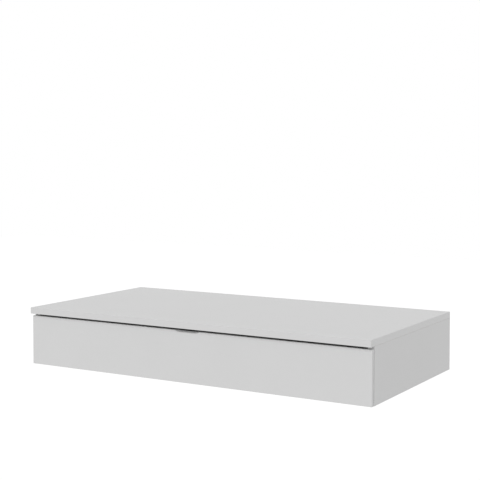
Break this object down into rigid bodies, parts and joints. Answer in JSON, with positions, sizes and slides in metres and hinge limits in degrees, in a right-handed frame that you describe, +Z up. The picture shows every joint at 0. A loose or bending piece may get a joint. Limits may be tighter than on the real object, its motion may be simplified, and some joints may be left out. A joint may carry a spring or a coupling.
{
  "type": "floating sideboard",
  "caption": "Wall-hung white sideboard: a low wide box with an overhanging top and one full-width drawer on full-extension ball slides, opened by a finger scoop.",
  "frame": {"origin": "centre of the four wall-screw holes in the rear rails, on the wall plane", "axes": "+X to the right seen from the front, +Y into the wall, +Z up; the drawer opens towards -Y"},
  "size_m": [0.9, 0.455, 0.138],
  "materials": {
    "white_board": "satin white melamine on chipboard",
    "white_band": "satin white edge band",
    "white_front": "satin white lacquer on fibreboard",
    "box_board": "white melamine on chipboard",
    "thin_board": "white faced thin fibreboard",
    "batten_wood": "bare softwood",
    "dowel_wood": "beech",
    "zinc": "zinc-plated steel",
    "cast_zinc": "die-cast zinc",
    "ball_steel": "polished steel",
    "black_plastic": "moulded plastic",
    "white_plastic": "moulded plastic",
    "clear_pad": "soft translucent pad"
  },
  "bodies": {
    "cabinet": {"top_panel": "white_board", "top_edge_bands": "white_band", "side_panel_left": "white_board", "side_panel_right": "white_board", "side_edge_bands": "white_band", "bottom_panel": "white_board", "bottom_edge_band": "white_band", "back_panel": "thin_board", "rear_rail_lower": "white_board", "rear_rail_upper": "white_board", "cam_housings": "cast_zinc", "cam_bolts": "zinc", "cam_caps": "white_plastic", "dowels": "dowel_wood", "bumper_pads": "clear_pad", "slide_cabinet_left": "zinc", "slide_cabinet_right": "zinc", "slide_screws_cabinet": "zinc", "slide_stops": "black_plastic"},
    "drawer": {"drawer_front": "white_front", "drawer_inner_front": "box_board", "drawer_back": "box_board", "drawer_side_left": "box_board", "drawer_side_right": "box_board", "drawer_edge_bands": "white_band", "drawer_bottom": "thin_board", "drawer_batten": "batten_wood", "drawer_front_screws": "zinc", "drawer_box_screws": "zinc", "batten_screws": "zinc", "slide_drawer_left": "zinc", "slide_drawer_right": "zinc", "slide_screws_drawer": "zinc", "lever_rivets": "zinc"},
    "middle_member_left": {"slide_middle_left": "zinc"},
    "outer_ball_cage_left": {"outer_cage_left": "zinc", "outer_balls_left": "ball_steel"},
    "inner_ball_cage_left": {"inner_cage_left": "zinc", "inner_balls_left": "ball_steel"},
    "lever_left": {"release_lever_left": "black_plastic"},
    "middle_member_right": {"slide_middle_right": "zinc"},
    "outer_ball_cage_right": {"outer_cage_right": "zinc", "outer_balls_right": "ball_steel"},
    "inner_ball_cage_right": {"inner_cage_right": "zinc", "inner_balls_right": "ball_steel"},
    "lever_right": {"release_lever_right": "black_plastic"}
  },
  "joints": [
    {"name": "drawer_slide", "type": "slide", "parent": "cabinet", "child": "drawer", "axis": [0, -1, 0], "range_m": [0, 0.4]},
    {"name": "middle_member_left_slide", "type": "slide", "parent": "cabinet", "child": "middle_member_left", "axis": [0, -1, 0], "range_m": [0, 0.2]},
    {"name": "outer_ball_cage_left_slide", "type": "slide", "parent": "cabinet", "child": "outer_ball_cage_left", "axis": [0, -1, 0], "range_m": [0, 0.1]},
    {"name": "inner_ball_cage_left_slide", "type": "slide", "parent": "cabinet", "child": "inner_ball_cage_left", "axis": [0, -1, 0], "range_m": [0, 0.3]},
    {"name": "lever_left_hinge", "type": "hinge", "parent": "drawer", "child": "lever_left", "pos_m": [-0.4235, -0.2757, -0.0015], "axis": [1, 0, 0], "range_deg": [-6, 6], "stiffness_Nm_per_rad": 0.02},
    {"name": "middle_member_right_slide", "type": "slide", "parent": "cabinet", "child": "middle_member_right", "axis": [0, -1, 0], "range_m": [0, 0.2]},
    {"name": "outer_ball_cage_right_slide", "type": "slide", "parent": "cabinet", "child": "outer_ball_cage_right", "axis": [0, -1, 0], "range_m": [0, 0.1]},
    {"name": "inner_ball_cage_right_slide", "type": "slide", "parent": "cabinet", "child": "inner_ball_cage_right", "axis": [0, -1, 0], "range_m": [0, 0.3]},
    {"name": "lever_right_hinge", "type": "hinge", "parent": "drawer", "child": "lever_right", "pos_m": [0.4235, -0.2757, -0.0015], "axis": [1, 0, 0], "range_deg": [-6, 6], "stiffness_Nm_per_rad": 0.02}
  ],
  "couplings": [
    {"joint": "middle_member_left_slide", "follows": "drawer_slide", "ratio": 0.5},
    {"joint": "outer_ball_cage_left_slide", "follows": "drawer_slide", "ratio": 0.25},
    {"joint": "inner_ball_cage_left_slide", "follows": "drawer_slide", "ratio": 0.75},
    {"joint": "middle_member_right_slide", "follows": "drawer_slide", "ratio": 0.5},
    {"joint": "outer_ball_cage_right_slide", "follows": "drawer_slide", "ratio": 0.25},
    {"joint": "inner_ball_cage_right_slide", "follows": "drawer_slide", "ratio": 0.75}
  ]
}
